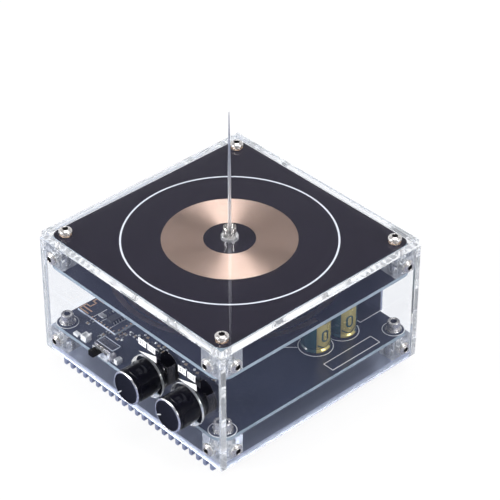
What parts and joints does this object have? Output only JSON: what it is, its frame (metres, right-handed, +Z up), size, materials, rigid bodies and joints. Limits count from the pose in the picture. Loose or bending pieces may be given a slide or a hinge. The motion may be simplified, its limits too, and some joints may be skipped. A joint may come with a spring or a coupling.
{
  "type": "desktop resonant transformer",
  "caption": "Clear-cased desktop resonant transformer with a flat printed winding, discharge needle, finned heat sink, knobs and slide switch.",
  "frame": {"origin": "middle of the footprint, on the surface that the fins stand on", "axes": "+Z up along the needle, knobs and switch face -Y, supply socket faces +Y, +X to the right seen from the front"},
  "size_m": [0.113, 0.1225, 0.125],
  "materials": {
    "acrylic": "clear acrylic sheet, polished faces and laser-cut edges",
    "board": "black solder mask, semi-gloss",
    "sink": "extruded, satin",
    "steel": "nickel-plated steel",
    "pad": "grey silicone pad",
    "chip": "moulded epoxy",
    "sleeve": "dark teal shrink sleeve with a gold stripe",
    "film": "dipped film capacitor",
    "socket_black": "black moulding",
    "contact": "tin-plated brass",
    "white_plastic": "white moulding",
    "sheet_metal": "plated sheet",
    "shaft": "turned",
    "knob": "gloss black anodised, turned",
    "lever": "black moulding",
    "wire": "tinned copper wire",
    "copper": "printed copper, fine turns",
    "gold": "gold-plated pad",
    "needle_steel": "drawn steel"
  },
  "bodies": {
    "root": {"heat_sink": "sink", "lower_blocks": "acrylic", "control_board": "board", "board_washers": "steel", "spring_washers": "steel", "board_screws": "steel", "thermal_pads": "pad", "power_transistors": "chip", "transistor_screws": "steel", "filter_capacitors": "sleeve", "film_capacitors": "film", "supply_socket": "socket_black", "supply_pin": "contact", "control_chips": "chip", "edge_connectors": "white_plastic", "wireless_board": "board", "wireless_chip": "chip", "pot_frames": "sheet_metal", "pot_cases": "socket_black", "switch_shell": "sheet_metal", "switch_base": "socket_black", "link_wires": "wire", "primary_board": "board", "primary_winding": "copper", "primary_screws": "steel", "upper_blocks": "acrylic", "coil_board": "board", "coil_pads": "gold", "secondary_winding": "copper", "needle_socket": "contact", "needle": "needle_steel", "front_wall": "acrylic", "back_wall": "acrylic", "left_wall": "acrylic", "right_wall": "acrylic", "cover_plate": "acrylic", "cover_screws": "steel", "wall_screws": "steel"},
    "left_knob": {"left_shaft": "shaft", "left_knob": "knob"},
    "right_knob": {"right_shaft": "shaft", "right_knob": "knob"},
    "switch": {"switch_lever": "lever"}
  },
  "joints": [
    {"name": "left_knob_turn", "type": "hinge", "parent": "root", "child": "left_knob", "pos_m": [0.0106, -0.055, 0.0282], "axis": [0, 1, 0], "range_deg": [-15, 285]},
    {"name": "right_knob_turn", "type": "hinge", "parent": "root", "child": "right_knob", "pos_m": [0.0344, -0.055, 0.0282], "axis": [0, 1, 0], "range_deg": [-33, 267]},
    {"name": "switch_slide", "type": "slide", "parent": "root", "child": "switch", "axis": [1, 0, 0], "range_m": [0, 0.005]}
  ]
}
